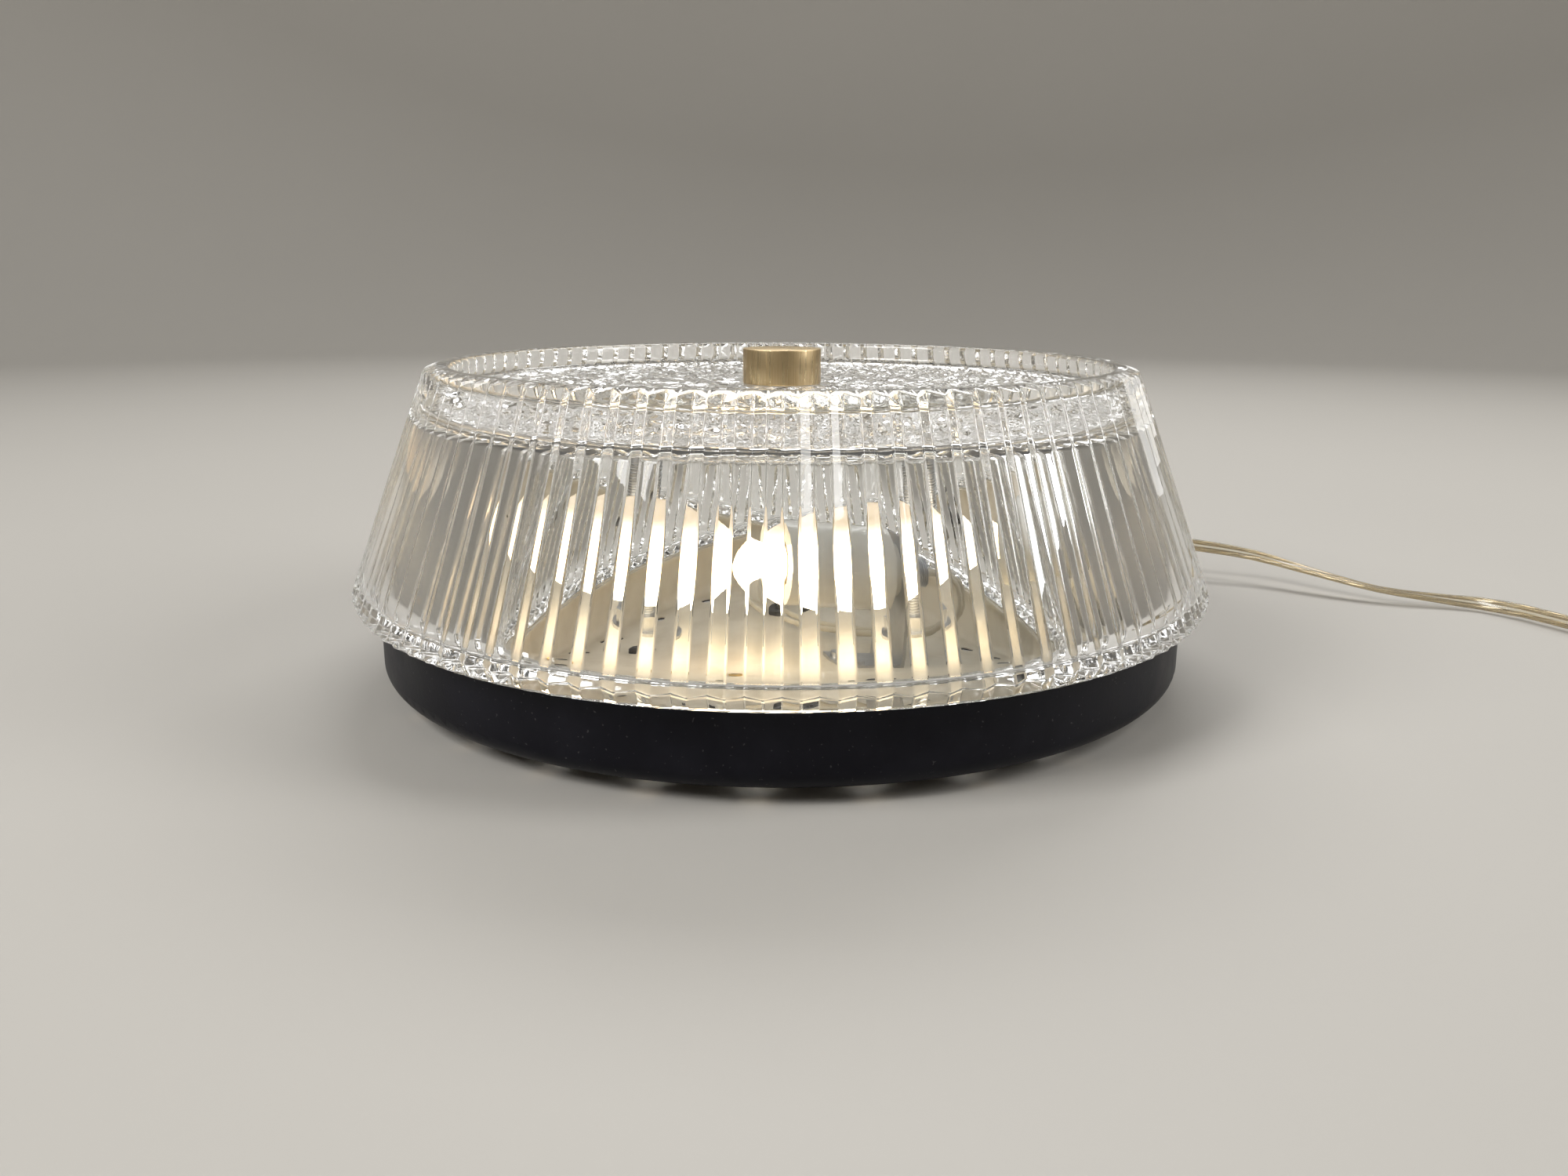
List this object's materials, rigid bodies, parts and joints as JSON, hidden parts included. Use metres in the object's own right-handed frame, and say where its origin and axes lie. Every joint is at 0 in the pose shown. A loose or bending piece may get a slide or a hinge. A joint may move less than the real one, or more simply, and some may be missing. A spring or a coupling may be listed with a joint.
{
  "type": "flush mount ceiling light",
  "caption": "Round flush mount ceiling light with a ribbed clear glass shade held on a black pan by a brass cap nut, a screw-in bulb inside and a flat two-core cord.",
  "frame": {"origin": "centre of the ceiling side, on the plane of the stand-offs' pads", "axes": "+Z from the ceiling side along the centre rod through the cap nut; -Y is the side seen in the picture; the bulb lies along X"},
  "size_m": [0.5435, 0.28, 0.1054],
  "materials": {
    "black_lacquer": "satin black lacquer outside, cream enamel inside",
    "clear_glass": "clear pressed glass with pointed ribs and a hammered panel",
    "satin_brass": "fine upright brushing",
    "zinc_steel": "zinc plated",
    "contact_brass": "bare brass",
    "white_ceramic": "glazed",
    "black_rubber": "matt",
    "black_plastic": "matt",
    "washer_plastic": "matt",
    "pale_silicone": "matt, half see-through",
    "wire_sleeving": "woven heat-proof sleeving",
    "cord_vinyl": "see-through vinyl over two copper cores",
    "cap_metal": "plain",
    "bulb_frost": "frosted, lit",
    "filament_wire": "plain",
    "plug_white": "moulded",
    "pin_nickel": "nickel plated"
  },
  "bodies": {
    "base": {"base_pan": "black_lacquer", "ceiling_spacers": "black_rubber", "seat_gasket": "pale_silicone", "centre_rod": "zinc_steel", "rod_nuts": "zinc_steel", "rod_washer": "zinc_steel", "holder_bracket": "zinc_steel", "bracket_screws": "zinc_steel", "lampholder_body": "white_ceramic", "lampholder_shell": "contact_brass", "centre_contact": "contact_brass", "holder_nipple": "zinc_steel", "nipple_nut": "zinc_steel", "terminal_block": "white_ceramic", "terminal_screws": "contact_brass", "terminal_fixing": "zinc_steel", "wire_live": "wire_sleeving", "wire_neutral": "wire_sleeving", "cord_sleeve": "black_rubber", "cord_inner": "cord_vinyl", "clamp_block": "black_plastic", "clamp_bar": "black_plastic", "clamp_screws": "zinc_steel", "floor_nuts": "zinc_steel", "earth_screw": "contact_brass", "entry_grommet": "black_rubber", "cord_lead": "cord_vinyl", "cord_coil": "cord_vinyl", "coil_tie": "black_plastic", "plug_body": "plug_white", "plug_pins": "pin_nickel"},
    "shade": {"glass_shade": "clear_glass"},
    "washer": {"nut_washer": "washer_plastic"},
    "nut": {"cap_nut": "satin_brass"},
    "bulb_tip": {"bulb_contact": "cap_metal"},
    "bulb": {"bulb_insulator": "black_plastic", "bulb_cap": "cap_metal", "bulb_glass": "bulb_frost", "bulb_stem": "clear_glass", "bulb_filament": "filament_wire"}
  },
  "joints": [
    {"name": "shade_lift", "type": "slide", "parent": "base", "child": "shade", "axis": [0, 0, 1], "range_m": [0, 0.12]},
    {"name": "nut_lift", "type": "slide", "parent": "shade", "child": "washer", "axis": [0, 0, 1], "range_m": [0, 0.0081]},
    {"name": "nut_spin", "type": "hinge", "parent": "washer", "child": "nut", "pos_m": [0, 0, 0.1], "axis": [0, 0, 1], "range_deg": [0, 2880]},
    {"name": "bulb_out", "type": "slide", "parent": "base", "child": "bulb_tip", "axis": [-1, 0, 0], "range_m": [0, 0.0213]},
    {"name": "bulb_spin", "type": "hinge", "parent": "bulb_tip", "child": "bulb", "pos_m": [0.03, -0.028, 0.04], "axis": [-1, 0, 0], "range_deg": [0, 2700]}
  ],
  "couplings": [
    {"joint": "nut_lift", "follows": "nut_spin", "m_per_rad": 0.00015915},
    {"joint": "bulb_out", "follows": "bulb_spin", "m_per_rad": 0.00044913}
  ]
}
